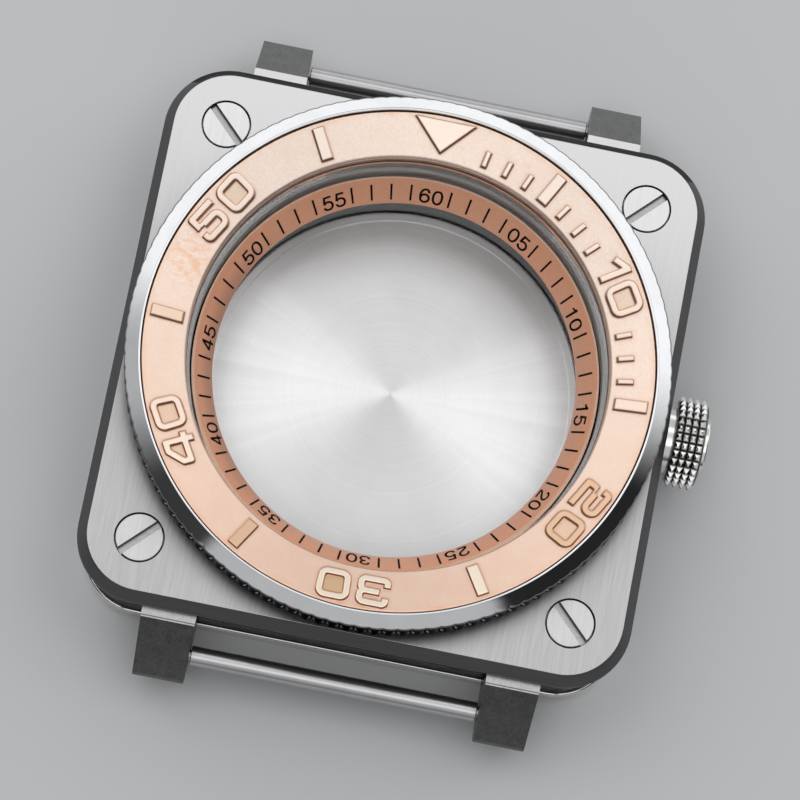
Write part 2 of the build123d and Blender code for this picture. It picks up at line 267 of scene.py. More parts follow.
def turned(name, color, rough, axis="Z", centre=(0, 0, 0), spread=0.05, tint=0.05, aniso=0.75, bump=0.003, pitch=9.0, marks=(), extra=None, rot=0.25, metal=1.0):
    """metal turned on a lathe: fine rings about an axis"""
    t = Tree(name)
    p = t.vmath("SUBTRACT", t.mm(), centre)
    x, y, z = t.xyz(p)
    a, b = (x, y) if axis == "Z" else (y, z)
    h = z if axis == "Z" else x
    r = t.math("SQRT", t.math("ADD", t.math("MULTIPLY", a, a), t.math("MULTIPLY", b, b)))
    w = t.math("ADD", r, t.math("MULTIPLY", h, 1.37))
    fine = t.noise(w, pitch, 3.0, 0.7, dims="1D")
    coarse = t.noise(w, pitch * 0.16, 2.0, 0.5, dims="1D")
    blot = t.noise(t.scaled((0.35, 0.35, 0.35)), 1.0, 2.0, 0.5)
    both = t.math("MULTIPLY_ADD", fine, 0.6, t.math("MULTIPLY", coarse, 0.4))
    dark = tuple(c * (1 - tint * 2.2) for c in color)
    light = tuple(min(1.0, c * (1 + tint)) for c in color)
    col = t.mix(t.range(t.math("MULTIPLY_ADD", blot, 0.3, t.math("MULTIPLY", both, 0.7)), 0.3, 0.7, 0, 1), dark, light)
    if extra is not None:
        col = extra(t, col, r)
    t.set(color=col, metal=metal, rough=t.range(both, 0.25, 0.75, rough - spread, rough + spread), aniso=aniso, rot=rot, tangent=t.radial(axis),
          normal=t.bump(both, 0.55, bump))
    return t.mat


def polished(name, color, rough=0.07, smear=0.03, blot_scale=0.6, extra=None):
    """mirror metal with faint handling marks"""
    t = Tree(name)
    n1 = t.noise(t.scaled((blot_scale,) * 3), 1.0, 4.0, 0.6)
    n2 = t.noise(t.scaled((6.0, 6.0, 6.0)), 1.0, 3.0, 0.6)
    col = t.mix(t.range(n1, 0.35, 0.65, 0, 1), tuple(c * 0.94 for c in color), color)
    if extra is not None:
        col = extra(t, col)
    t.set(color=col, metal=1.0 if not t.b.inputs["Metallic"].is_linked else t.b.inputs["Metallic"].links[0].from_socket, rough=t.range(t.math("MULTIPLY_ADD", n1, 0.6, t.math("MULTIPLY", n2, 0.4)), 0.3, 0.7, rough, rough + smear),
          normal=t.bump(n2, 0.25, 0.0015))
    return t.mat


def plate_painted_shade_and_highlight(t, col):
    """painted shadow: the plate is darker close to the bezel, most on the side towards 6 o'clock; a painted highlight
    makes it lighter towards 12 o'clock
    """
    x, y, z = t.xyz()
    r = t.math("SQRT", t.math("ADD", t.math("MULTIPLY", x, x), t.math("MULTIPLY", y, y)))
    near = t.range(r, 20.3, 21.2, 1, 0, True)
    col = t.mix(t.range(y, 3, 19, 0, 0.6, True), col, (0.655, 0.655, 0.66))
    return t.mix(t.math("MULTIPLY", t.math("MULTIPLY", near, near), t.range(y, -14, 6, 0.60, 0.0, True)), col, (0.08, 0.08, 0.082))


m_plate = brushed("plate_steel", (0.505, 0.505, 0.51), 0.33, (13.0, 0.42, 13.0), (1, 0, 0), tint=0.075, aniso=0.55, extra=plate_painted_shade_and_highlight)
# painted reflection: the case's near-black colour and low specular tint stand in for the dark surroundings its sides
# reflect
m_case = polished("case_steel", (0.075, 0.075, 0.077), 0.22, 0.06)
m_case.node_tree.nodes["Principled BSDF"].inputs["Specular Tint"].default_value = (0.20, 0.20, 0.21, 1)
# painted reflection: the lug slopes are coloured dark for the dark surroundings they reflect; the copy for the front
# lugs is darker still as painted shade
m_lug = brushed("lug_satin", (0.27, 0.27, 0.268), 0.38, (7.0, 4.5, 4.5), (1, 0, 0), tint=0.17, aniso=0.3, bump=0.007)
m_lug_front_shaded = brushed("lug_satin_front_shaded", (0.17, 0.17, 0.17), 0.38, (7.0, 4.5, 4.5), (1, 0, 0), tint=0.17, aniso=0.3, bump=0.007)


def lug_painted_line_and_highlight(t, col):
    """painted shade: a fine dark line across the front lugs' flats just before their end, for the small step there; a
    painted highlight makes the back lugs' flats lighter
    """
    x, y, z = t.xyz()
    line = t.math("MULTIPLY", t.range(y, -21.55, -21.58, 0, 1), t.range(y, -21.64, -21.67, 1, 0))
    col = t.mix(t.range(y, -1, 1, 0, 0.5), col, (0.74, 0.74, 0.735))
    return t.mix(t.math("MULTIPLY", line, 0.75), col, (0.05, 0.05, 0.05))


m_lugtop = brushed("lug_top_satin", (0.53, 0.53, 0.525), 0.38, (7.0, 4.5, 4.5), (1, 0, 0), tint=0.12, aniso=0.3, bump=0.006, extra=lug_painted_line_and_highlight)
# painted reflection: the plate's bevel is coloured dark for the dark surroundings it reflects; the far-side copy, with
# a lower specular tint, is darker still as painted shade
m_bevel = brushed("bevel_satin", (0.12, 0.12, 0.123), 0.36, (0.3, 0.3, 9.0), (0, 0, 1), tint=0.08)
m_bevel_far_shaded = brushed("bevel_far_satin_shaded", (0.12, 0.12, 0.123), 0.36, (0.3, 0.3, 9.0), (0, 0, 1), tint=0.08)
m_bevel_far_shaded.node_tree.nodes["Principled BSDF"].inputs["Specular Tint"].default_value = (0.12, 0.12, 0.125, 1)
m_neck = turned("neck_steel", (0.34, 0.34, 0.335), 0.38, aniso=0.5, pitch=6.0)
def floor_painted_fan(t, col, r):
    """painted light on the turned floor: highlight wedges to both sides, painted shade towards its rim at 12 o'clock
    and a duller wedge towards 6 o'clock
    """
    x, y, z = t.xyz()
    away = t.math("MAXIMUM", r, 0.05)
    side = t.math("DIVIDE", t.math("ABSOLUTE", x), away)
    up = t.math("DIVIDE", y, away)
    streak = t.noise(t.math("DIVIDE", y, away), 9.0, 3.0, 0.6, dims="1D")
    wedge = t.math("MULTIPLY", t.range(side, 0.62, 1.0, 0, 0.62, True), t.range(streak, 0.3, 0.7, 0.45, 1.0, True))
    col = t.mix(t.math("MULTIPLY", wedge, t.range(r, 0.8, 10.0, 0.25, 1.0)), col, (0.97, 0.97, 0.97))
    col = t.mix(t.math("MULTIPLY", t.range(up, 0.35, 1.0, 0, 0.42, True), t.range(r, 8.0, 12.5, 0, 1, True)), col, (0.42, 0.415, 0.41))
    return t.mix(t.math("MULTIPLY", t.range(up, -0.45, -0.95, 0, 0.30, True), t.range(r, 1.0, 9.0, 1, 0.3, True)), col, (0.55, 0.55, 0.555))


m_back = turned("back_turned", (0.80, 0.80, 0.805), 0.36, aniso=0.9, pitch=5.0, extra=floor_painted_fan)
m_backout = brushed("back_satin", (0.56, 0.56, 0.565), 0.34, (0.2, 11.0, 11.0), (0, 1, 0))
m_rim = polished("back_rim", (0.82, 0.81, 0.79), 0.12)
def ledge_stain(t, col):
    """brown residue along the ledge under the middle case"""
    x, y, z = t.xyz()
    far = t.math("MAXIMUM", t.math("ABSOLUTE", x), t.math("ABSOLUTE", y))
    line = t.math("MULTIPLY", t.range(far, 20.335, 20.35, 0, 1), t.range(far, 20.40, 20.42, 1, 0))
    return t.mix(t.math("MULTIPLY", line, t.range(t.noise(t.scaled((0.8, 0.8, 0.8)), 1.0, 3.0, 0.6), 0.3, 0.6, 0.75, 1)), col, (0.075, 0.045, 0.025))


m_ledge = polished("back_ledge", (0.80, 0.79, 0.77), 0.16, extra=ledge_stain)
m_screw = brushed("screw_satin", (0.64, 0.64, 0.645), 0.30, (9.0, 0.3, 9.0), (1, 0, 0), tint=0.06)
def bezel_edge_painted_shade(t, col):
    """painted shade along the slope's outer edge, and a darker line where the slope meets the lip"""
    at = t.nt.nodes.new("ShaderNodeAttribute")
    at.attribute_name = "dirt_and_painted_light"
    return t.mix(at.outputs["Fac"], col, (0.035, 0.036, 0.040))


m_bezel = polished("bezel_steel", (0.80, 0.81, 0.83), 0.06, 0.03, extra=bezel_edge_painted_shade)
def coin_painted_dashes(t, col):
    """painted highlights: two bright dashes on each tooth stand in for the flanks' reflections; the rest of the coin
    edge is dark, partly dirt and partly painted shade
    """
    at = t.nt.nodes.new("ShaderNodeAttribute")
    at.attribute_name = "dirt_and_painted_light"
    t.set(metal=t.range(at.outputs["Fac"], 0.15, 0.85, 0.0, 1.0))
    return t.mix(at.outputs["Fac"], (0.34, 0.345, 0.36), (0.035, 0.036, 0.040))


m_coin = polished("coin_edge_painted_dashes", (0.74, 0.75, 0.77), 0.20, 0.08, extra=coin_painted_dashes)
m_coin.node_tree.nodes["Principled BSDF"].inputs["Specular Tint"].default_value = (0.12, 0.12, 0.13, 1)
def ring_speckle_and_painted_light(t, col, r):
    """fine matt speckle of the plated ring, with painted shade low down and a painted highlight along its rim"""
    n = t.noise(t.scaled((6.5, 6.5, 6.5), (2, 4, 6)), 1.0, 3.0, 0.65)
    x, y, z = t.xyz()
    low = t.mix(t.range(x, -13, -4, 0, 1, True), (0.38, 0.23, 0.19), (0.80, 0.50, 0.40))
    low = t.mix(t.range(y, 3, 12, 0, 1, True), low, (1.0, 0.52, 0.34))
    col = t.mix(t.range(r, 13.85, 14.9, 0.6, 0.0, True), col, low)       # painted shade: duller low down, most on the left
    rim = t.math("SUBTRACT", r, t.range(y, -10, 6, 0.0, 0.17, True))
    col = t.mix(t.range(rim, 15.02, 15.10, 0.0, 0.80, True), col, (1.0, 0.70, 0.53))       # painted highlight along the rim
    return t.mix(t.range(n, 0.36, 0.62, 0, 0.24), col, (0.78, 0.33, 0.20))


m_ring = turned("rose_ring", (1.0, 0.49, 0.305), 0.38, aniso=0.4, pitch=7.0, tint=0.04, metal=0.08, extra=ring_speckle_and_painted_light)
m_gasket_grey = turned("gasket_grey", (0.205, 0.20, 0.19), 0.42, aniso=0.2, pitch=5.0, metal=0.35)
m_bar = polished("bar_steel", (0.56, 0.56, 0.57), 0.27, 0.06)
def crown_valleys(t, col):
    """the grooves between the pyramids and the knurl's two ends are darkened"""
    x, y, z = t.xyz(t.vmath("SUBTRACT", t.mm(), (0, 0, CR_Z)))
    r = t.math("SQRT", t.math("ADD", t.math("MULTIPLY", y, y), t.math("MULTIPLY", z, z)))
    band = t.math("MULTIPLY", t.range(x, 21.62, 21.70, 0, 1), t.range(x, 23.86, 23.94, 1, 0))
    dirt = t.math("MULTIPLY", band, t.range(r, 3.12, 3.27, 0.96, 0.0, True))
    ends = t.math("MULTIPLY", t.math("ADD", t.range(x, 21.56, 21.60, 0, 1), t.range(x, 24.02, 23.98, 0, 1)), 0.5)
    ends = t.math("MULTIPLY", t.range(ends, 0.9, 1.0, 0, 0.85), t.math("MULTIPLY", t.range(r, 2.36, 2.44, 0, 1), t.range(r, 3.22, 3.10, 0, 1)))
    return t.mix(t.math("MAXIMUM", dirt, ends), col, (0.035, 0.033, 0.03))


m_crown = polished("crown_steel", (0.70, 0.70, 0.71), 0.12, 0.05)
m_knurl = polished("crown_knurl", (0.88, 0.88, 0.87), 0.14, 0.06, extra=crown_valleys)
m_crowncap = turned("crown_cap", (0.66, 0.66, 0.66), 0.28, axis="X", centre=(0, 0, CR_Z))
m_spring = polished("spring_steel", (0.5, 0.5, 0.52), 0.2)


def slot_painted_shade(t, col):
    """the slots point at the middle of the case; painted shade darkens them along both of their walls"""
    x, y, z = t.xyz()
    off = t.math("MULTIPLY", t.math("ABSOLUTE", t.math("SUBTRACT", t.math("ABSOLUTE", x), t.math("ABSOLUTE", y))), 0.7071)
    return t.mix(t.range(off, 0.17, 0.27, 0, 0.85, True), col, (0.05, 0.05, 0.05))


m_slot = brushed("slot_satin", (0.52, 0.52, 0.525), 0.32, (0.4, 9.0, 9.0), (0, 1, 0), tint=0.10, extra=slot_painted_shade)


def simple(name, color, rough, metal=0.0, bump=0.004, scale=8.0, var=0.12):
    t = Tree(name)
    n = t.noise(t.scaled((scale,) * 3), 1.0, 3.0, 0.6)
    t.set(color=t.mix(n, tuple(c * (1 - var) for c in color), tuple(min(1, c * (1 + var)) for c in color)), metal=metal,
          rough=t.range(n, 0.3, 0.7, rough - 0.05, rough + 0.05), normal=t.bump(n, 0.4, bump))
    return t.mat


# painted shade: the screw pockets, the screw slots' walls and the movement cavity's walls are coloured near black
m_pocket_shade = polished("pocket_steel_painted_shade", (0.10, 0.10, 0.10), 0.3)
m_cavity = polished("cavity_steel", (0.06, 0.062, 0.066), 0.22)
m_rubber = simple("black_rubber", (0.02, 0.02, 0.021), 0.6)
m_glue = simple("glue_film", (0.6, 0.56, 0.46), 0.5)
m_ink = simple("figure_ink", (0.006, 0.005, 0.005), 0.5, bump=0.001)
m_ink.node_tree.nodes["Principled BSDF"].inputs["Specular IOR Level"].default_value = 0.12


def make_insert_material():
    t = Tree("rose_insert")

    def attribute(name):
        at = t.nt.nodes.new("ShaderNodeAttribute")
        at.attribute_name = name
        return at.outputs["Fac"]
    h, hole, near, shade = (attribute(n) for n in ("relief", "hole", "near", "shade"))
    x, y, z = t.xyz()
    r = t.math("SQRT", t.math("ADD", t.math("MULTIPLY", x, x), t.math("MULTIPLY", y, y)))
    blast = t.noise(t.scaled((14, 14, 14)), 1.0, 4.0, 0.65)
    cloud = t.noise(t.scaled((0.45, 0.45, 0.45), (3.1, 8.2, 1.7)), 1.0, 4.0, 0.6)
    pale = t.mix(t.range(cloud, 0.35, 0.68, 0, 1), (0.97, 0.835, 0.745), (0.94, 0.785, 0.675))
    deep_rose = t.mix(t.range(cloud, 0.35, 0.68, 0, 1), (0.87, 0.635, 0.51), (0.85, 0.58, 0.45))
    base = t.mix(t.range(y, -17, 12, 1, 0, True), pale, deep_rose)      # painted highlight: paler towards 12 o'clock
    # painted shade: darker in a band across 3 and 9 o'clock, a little below the middle
    base = t.mix(t.range(t.math("ABSOLUTE", t.math("ADD", y, 5.0)), 2.0, 10.0, 0.22, 0.0, True), base, (0.58, 0.44, 0.36))
    base = t.mix(t.range(blast, 0.3, 0.7, 0.0, 0.35), base, (0.93, 0.78, 0.68))
    mottle = t.noise(t.scaled((5.0, 5.0, 5.0), (9, 3, 5)), 1.0, 3.0, 0.65)
    base = t.mix(t.range(mottle, 0.38, 0.64, 0.0, 0.30), base, (0.80, 0.575, 0.445))
    # warm stains: small spots, and a patch on the left between 9 and 10 o'clock
    spots = t.range(t.noise(t.scaled((1.7, 1.7, 1.7), (5, 5, 5)), 1.0, 5.0, 0.7), 0.60, 0.74, 0, 1)
    d = t.vmath("LENGTH", t.vmath("SUBTRACT", t.mm(), (-16.7, 4.6, 13.2)))
    patch = t.math("MULTIPLY", t.range(d, 0.5, 4.0, 1, 0, True), t.range(t.noise(t.scaled((1.1, 2.4, 2.4)), 1.0, 4.0, 0.7), 0.42, 0.66, 0, 1))
    edge = t.math("MULTIPLY", t.range(r, 18.55, 19.05, 0, 1, True), t.range(t.noise(t.scaled((0.8, 0.8, 0.8), (1, 7, 2)), 1.0, 3.0, 0.6), 0.4, 0.7, 0.2, 1))
    stain = t.math("MAXIMUM", t.math("MAXIMUM", t.math("MULTIPLY", spots, 0.40), t.math("MULTIPLY", patch, 0.7)), t.math("MULTIPLY", edge, 0.5))
    base = t.mix(stain, base, (0.86, 0.46, 0.26))
    # olive residue inside closed figures; along their feet the olive darkening is partly residue and partly painted
    # shade
    base = t.mix(t.math("MULTIPLY", hole, t.range(y, -17, -12, 0.60, 0.26, True)), base, (0.60, 0.41, 0.19))
    base = t.mix(t.math("MULTIPLY", t.math("MULTIPLY", near, near), 0.36), base, (0.60, 0.32, 0.18))
    # raised tops are smoother and lighter, partly their own polish and partly a painted highlight, strongest towards 6
    # o'clock; their walls are browned, and painted darker as shade where they face 6 o'clock
    top = t.range(h, 0.86, 0.98, 0, 1, True)
    wall = t.math("MULTIPLY", t.range(h, 0.02, 0.30, 0, 1, True), t.range(h, 0.72, 0.97, 1, 0, True))
    deep = t.range(shade, 0.35, 0.80, 0.10, 1.0, True)
    light = t.mix(t.range(y, 4, 12, 0, 1, True), (0.92, 0.80, 0.70), (1.0, 0.89, 0.80))
    strength = t.math("ADD", t.range(y, -17, -4, 0.92, 0.5, True), t.range(y, 4, 12, 0.0, 0.18, True))
    col = t.mix(t.math("MULTIPLY", top, strength), base, t.mix(t.range(y, -17, -4, 1, 0, True), light, (1.0, 0.88, 0.74)))
    # the tops of the 20 and of the two marks on the left are darker
    for spot, inside, outside, much in (((15.0, -8.9, 13.2), 3.4, 4.2, 0.80), ((-8.8, -15.2, 13.2), 1.8, 2.8, 0.80), ((-17.4, 0.0, 13.2), 1.6, 2.6, 0.32)):
        far = t.vmath("LENGTH", t.vmath("SUBTRACT", t.mm(), spot))
        col = t.mix(t.math("MULTIPLY", top, t.range(far, inside, outside, much, 0.0, True)), col, (0.72, 0.45, 0.27))
    # painted shade: the walls are darkest where they face 6 o'clock
    col = t.mix(t.math("MULTIPLY", wall, t.range(shade, 0.2, 0.7, 0.35, 1.0, True)), col, t.mix(deep, (0.70, 0.40, 0.24), (0.32, 0.115, 0.045)))
    # painted shade: the insert's inner side is darker towards its foot
    inner = t.math("MULTIPLY", t.range(r, INS_RI + 0.02, INS_RI + 0.06, 1, 0), t.range(z, 12.45, 12.68, 1, 0))
    col = t.mix(t.math("MULTIPLY", inner, 0.8), col, (0.40, 0.19, 0.11))
    t.set(color=col, metal=t.math("SUBTRACT", 1.0, t.math("MULTIPLY", wall, 0.5)), rough=t.math("SUBTRACT", t.range(blast, 0.3, 0.7, 0.38, 0.50), t.math("MULTIPLY", top, 0.05)),
          normal=t.bump(blast, 0.35, 0.004))
    return t.mat


m_insert = make_insert_material()

t = Tree("crystal_clear")
t.set(color=(1, 1, 1), rough=0.0, ior=1.03, trans=1.0)
dust = t.noise(t.scaled((3, 3, 3)), 1.0, 3.0, 0.6)
t.set(rough=t.range(dust, 0.2, 0.8, 0.0, 0.004))
m_crystal = t.mat

# ------------------------------------------------------------------ bezel insert with its raised figures
def outline(pts, w, closed=False):
    """polygons of a stroke of width w along a centre line, mitred at its corners"""
    n = len(pts)
    left, right = [], []
    for i in range(n):
        p = pts[i]
        a = pts[i - 1] if (i or closed) else None
        b = pts[(i + 1) % n] if (i < n - 1 or closed) else None

        def unit(u, v):
            d = math.hypot(v[0] - u[0], v[1] - u[1])
            return (v[0] - u[0]) / d, (v[1] - u[1]) / d
        d0 = unit(a, p) if a else unit(p, b)
        d1 = unit(p, b) if b else d0
        n0, n1 = (-d0[1], d0[0]), (-d1[1], d1[0])
        m = (n0[0] + n1[0], n0[1] + n1[1])
        k = (w / 2) / max(0.3, (m[0] * n0[0] + m[1] * n0[1]) / math.hypot(*m)) / math.hypot(*m)
        left.append((p[0] + m[0] * k, p[1] + m[1] * k))
        right.append((p[0] - m[0] * k, p[1] - m[1] * k))
    if closed:
        return left, right
    return left + right[::-1], None


def poly_sdf(P, poly):
    """signed distance of points P to a polygon, negative inside"""
    poly = np.array(poly, float)
    d = np.full(len(P), 1e9)
    inside = np.zeros(len(P), bool)
    for i in range(len(poly)):
        a, b = poly[i - 1], poly[i]
        ab = b - a
        t = np.clip(((P - a) @ ab) / (ab @ ab), 0, 1)
        d = np.minimum(d, np.linalg.norm(P - a - t[:, None] * ab, axis=1))
        cross = (a[1] > P[:, 1]) != (b[1] > P[:, 1])
        with np.errstate(divide="ignore", invalid="ignore"):
            xs = (b[0] - a[0]) * (P[:, 1] - a[1]) / (b[1] - a[1]) + a[0]
        inside ^= cross & (P[:, 0] < xs)
    return np.where(inside, -d, d)


def chamfered(pts, cut, closed=True):
    """corners of a polygon turned into two points, so that its offsets look rounded"""
    out = []
    n = len(pts)
    for i in range(n):
        p, a, b = np.array(pts[i]), np.array(pts[i - 1]), np.array(pts[(i + 1) % n])
        for q in (a, b):
            v = q - p
            out.append(tuple(p + v / np.linalg.norm(v) * min(cut, np.linalg.norm(v) * 0.45)))
    return out


def bend(pts, closed=False, seg=5):
    """path whose corners given as (x, y, radius) are turned into arcs"""
    out = []
    n = len(pts)
    for i in range(n):
        p = np.array(pts[i][:2], float)
        rad = pts[i][2] if len(pts[i]) > 2 else 0.0
        if rad <= 0 or (not closed and i in (0, n - 1)):
            out.append(tuple(p))
            continue
        out += rounded([pts[i - 1][:2], pts[i], pts[(i + 1) % n][:2]], seg)[1:-1]
    return out


STROKE = 0.47
BASE_R = 16.35
ZERO = ([(0.31, 0.24, 0.44), (2.21, 0.24, 0.44), (2.28, 2.11, 0.44), (0.22, 2.11, 0.44)], True)
DIGITS = {
    "0": [ZERO],
    "1": [([(1.2, 0.0), (1.2, 2.35)], False), ([(0.12, 1.5), (1.1, 2.12)], False)],
    "2": [([(0.22, 1.60), (0.22, 2.11, 0.40), (2.16, 2.11, 0.42), (2.16, 1.18, 0.42), (0.24, 1.18, 0.40), (0.24, 0.24), (2.4, 0.24)], False)],
    "3": [([(0.22, 1.60), (0.22, 2.11, 0.40), (2.16, 2.11, 0.42), (2.16, 1.42, 0.20), (1.90, 1.2), (2.16, 0.95, 0.20), (2.16, 0.24, 0.42), (0.22, 0.24, 0.40), (0.22, 0.76)], False),
          ([(0.75, 1.2), (1.9, 1.2)], False)],
    "4": [([(1.95, 0.0), (1.95, 2.11), (1.28, 2.11), (0.3, 1.2), (0.3, 0.66), (2.5, 0.66)], False)],
    "5": [([(2.36, 2.11), (0.26, 2.11), (0.26, 1.3), (2.16, 1.3, 0.42), (2.16, 0.24, 0.42), (0.22, 0.24, 0.40), (0.22, 0.76)], False)],
}


def stroke_sdf(P, pts, closed, w):
    """distance to a stroke of width w: round outside corners, square ends"""
    path = np.array(bend(pts, closed))
    d = np.full(len(P), 1e9)
    n = len(path)
    for i in range(n if closed else n - 1):
        a, b = path[i], path[(i + 1) % n]
        ab = b - a
        t = np.clip(((P - a) @ ab) / (ab @ ab), 0, 1)
        d = np.minimum(d, np.linalg.norm(P - a - t[:, None] * ab, axis=1))
    d -= w / 2
    if closed:
        return d, np.where(d > 0, poly_sdf(P, path), 9.0)
    for p0, p1 in ((path[0], path[1]), (path[-1], path[-2])):
        e = (p0 - p1) / np.linalg.norm(p0 - p1)
        along = (P - p0) @ e
        side = np.abs((P - p0) @ np.array([-e[1], e[0]]))
        near = (along > -w / 2) & (along < w) & (side < w)
        square = np.maximum(along, side - w / 2)
        d = np.where(near, np.where((square > 0) | (along > -0.1), square, d), d)
    return d, None


def insert_relief(theta, r):
    """(signed distance to the nearest raised figure, 1 inside a closed figure's middle) for angles and radii"""
    X, Y = r * np.sin(theta), r * np.cos(theta)
    d = np.full(X.shape, 9.0)
    hole = np.zeros(X.shape)

    def local(deg, half_x):
        c, s = math.cos(math.radians(deg)), math.sin(math.radians(deg))
        x, y = X * c - Y * s, X * s + Y * c
        near = (np.abs(x) < half_x) & (y > 0)
        return near, np.stack([x[near], y[near] - BASE_R], -1)
    for number, deg in (("10", 60), ("20", 120), ("30", 180), ("40", 240), ("50", 300)):
        near, P = local(deg, 4.2)
        best = d[near]
        h = hole[near]
        for ch in number:
            x0 = {"1": -2.3, "0": 0.3 if number != "10" else -0.35}.get(ch, -2.6)
            if number == "10" and ch == "0":
                x0 = -0.35
            Q = P - np.array([x0, 0])
            for pts, closed in DIGITS[ch]:
                v, hv = stroke_sdf(Q, pts, closed, STROKE)
                best = np.minimum(best, v)
                if hv is not None:
                    h = np.maximum(h, np.clip(-hv / 0.05, 0, 1))
            if ch == "4":
                v = poly_sdf(Q, [(1.73, 0.9), (1.73, 1.87), (1.37, 1.87), (0.54, 1.09), (0.54, 0.9)])
                h = np.maximum(h, np.clip(-v / 0.05, 0, 1))
        d[near] = best
        hole[near] = h
    for minute in (5, 15, 25, 35, 45, 55):
        near, P = local(minute * 6, 1.6)
        d[near] = np.minimum(d[near], poly_sdf(P, [(-0.42, 0), (0.42, 0), (0.42, 2.37), (-0.42, 2.37)]))
    for minute in (2, 3, 4, 6, 7, 8, 12, 13, 14):
        near, P = local(minute * 6, 1.2)
        d[near] = np.minimum(d[near], poly_sdf(P, [(-0.18, 0), (0.18, 0), (0.18, 1.15), (-0.18, 1.15)]))
    near, P = local(0, 3.4)
    d[near] = np.minimum(d[near], poly_sdf(P, [(-2.3, 2.37), (0, 0.05), (2.3, 2.37)]))
    return d, hole


def make_insert():
    spans = [(deg, 2.95) for deg in (60, 120, 180, 240, 300)] + [(0, 2.75)]
    spans += [(m * 6, 0.75) for m in (5, 15, 25, 35, 45, 55)] + [(m * 6, 0.5) for m in (2, 3, 4, 6, 7, 8, 12, 13, 14)]
    step, far = 0.055 / 17.5, 0.5 / 17.5
    th = []
    a = 0.0
    while a < 2 * math.pi - 1e-6:
        th.append(a)
        close = min(abs((a - math.radians(s) + math.pi) % (2 * math.pi) - math.pi) * 17.0 - h for s, h in spans)
        a += step if close < 0 else min(far, max(step, close / 17.5 * 0.5))
    if 2 * math.pi - th[-1] < step * 0.5:
        th.pop()
    th = np.array(th)
    rr = np.concatenate([[INS_RI, INS_RI + 0.03, INS_RI + 0.09, INS_RI + 0.16, 15.99, 16.02, 16.15], np.arange(16.2, 18.9, 0.052), [18.93, 18.98, 19.03, 19.075, INS_RO]])
    drop = np.zeros(len(rr))
    drop[:4] = (0.16, 0.085, 0.025, 0.004)
    drop[-3:] = (0.006, 0.03, 0.09)
    T, RR = np.meshgrid(th, rr, indexing="ij")
    d, hole = insert_relief(T.ravel(), RR.ravel())
    d, hole = d.reshape(T.shape), hole.reshape(T.shape)
    u = np.clip((0.10 - d) / 0.15, 0, 1)                 # 0 on the ground, 1 on top
    lift = u * u * (3 - 2 * u)
    Z = INS_Z + INS_SLOPE * (RR - INS_RI) - drop + MARK_H * lift
    under = INS_Z - INS_T
    bottom = [(INS_RO, under + INS_SLOPE * (INS_RO - INS_RI)), (17.4, under + INS_SLOPE * (17.4 - INS_RI)), (INS_RI, under), (INS_RI, under + 0.3)]
    nb = len(bottom)
    n, m = T.shape
    R_all = np.concatenate([RR, np.tile([b[0] for b in bottom], (n, 1))], 1)
    Z_all = np.concatenate([Z, np.tile([b[1] for b in bottom], (n, 1))], 1)
    T_all = np.tile(th[:, None], (1, m + nb))
    V = np.stack([R_all * np.sin(T_all), R_all * np.cos(T_all), Z_all], -1).reshape(-1, 3)
    M = m + nb
    i = np.arange(n)[:, None] * M
    i2 = ((np.arange(n) + 1) % n)[:, None] * M
    j = np.arange(M)[None, :]
    j2 = (np.arange(M)[None, :] + 1) % M
    F = np.stack([i + j, i + j2, i2 + j2, i2 + j], -1).reshape(-1, 4)
    a, b, c, e = (V[F[:, k]] for k in range(4))
    vol = np.einsum("ij,ij->i", a, np.cross(b, c)).sum() + np.einsum("ij,ij->i", a, np.cross(c, e)).sum()
    if vol < 0:
        F = F[:, ::-1]
    ob = mesh_object("insert_face", V, F)
    pad = lambda q, fill: np.concatenate([q, np.full((n, nb), fill)], 1).ravel()
    # how far each wall faces 6 o'clock, where the walls are painted darkest as shade
    gy = np.gradient(np.where(d < 8, d, 8), axis=1) / np.gradient(rr)[None, :]
    gt = np.gradient(np.where(d < 8, d, 8), axis=0) / (np.gradient(th)[:, None] * RR)
    face_y = gy * np.cos(T) - gt * np.sin(T)
    for name, q, fill in (("relief", lift, 0.0), ("hole", hole, 0.0), ("near", np.clip(1 - np.maximum(d, 0) / 0.45, 0, 1), 0.0), ("shade", np.clip(0.5 - 0.5 * face_y, 0, 1), 0.5)):
        at = ob.data.attributes.new(name, "FLOAT", "POINT")
        at.data.foreach_set("value", pad(q, fill).astype(np.float32))
    return ob


insert = make_insert()
paint(insert, m_insert)
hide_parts("bezel_insert")
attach(insert, "bezel")


